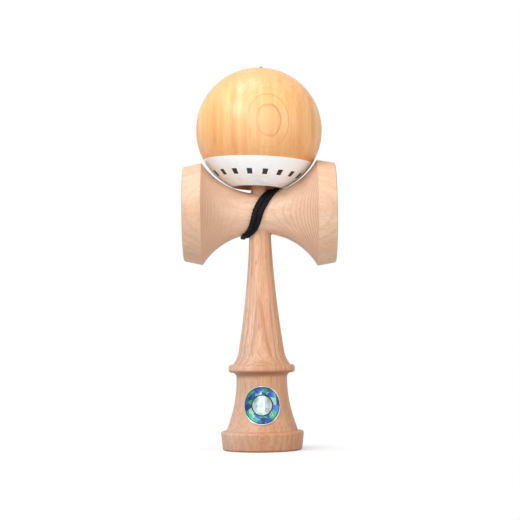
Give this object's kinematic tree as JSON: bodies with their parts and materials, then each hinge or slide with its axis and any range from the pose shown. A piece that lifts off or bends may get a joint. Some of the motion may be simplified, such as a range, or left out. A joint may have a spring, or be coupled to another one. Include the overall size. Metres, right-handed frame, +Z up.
{
  "type": "kendama",
  "caption": "Wooden kendama: turned handle with spike and base cup, cross-piece with big and small cup, and a bored ball tied on by a braided string, shown resting on the spike.",
  "frame": {"origin": "middle of the base rim that the handle stands on", "axes": "+Z up along the handle to the spike, +X along the cross-piece to the big cup, +Y to the back where the string leaves the cross-piece"},
  "size_m": [0.0723, 0.0629, 0.1836],
  "materials": {
    "beech_handle": "bare sanded beech",
    "beech_cross_piece": "bare sanded pale beech",
    "lacquered_ball": "clear lacquered beech with a white painted band",
    "foil_label": "printed reflective foil",
    "black_string": "braided polyester",
    "bead": "moulded"
  },
  "bodies": {
    "handle": {"ken": "beech_handle", "sarado": "beech_cross_piece", "label": "foil_label", "string_anchor_knot": "black_string", "string_wrap": "black_string", "string_bight": "black_string"},
    "string_end": {"string_riser": "black_string", "string_bead": "bead", "string_end_knot": "black_string"},
    "ball": {"tama": "lacquered_ball"}
  },
  "joints": [
    {"name": "tama_lift", "type": "slide", "parent": "handle", "child": "string_end", "axis": [0, 0, 1], "range_m": [0, 0.05], "deforming": ["string_riser"]},
    {"name": "tama_spin", "type": "hinge", "parent": "string_end", "child": "ball", "pos_m": [0, 0, 0.15171], "axis": [0.0436, 0, 0.999], "continuous": true}
  ]
}
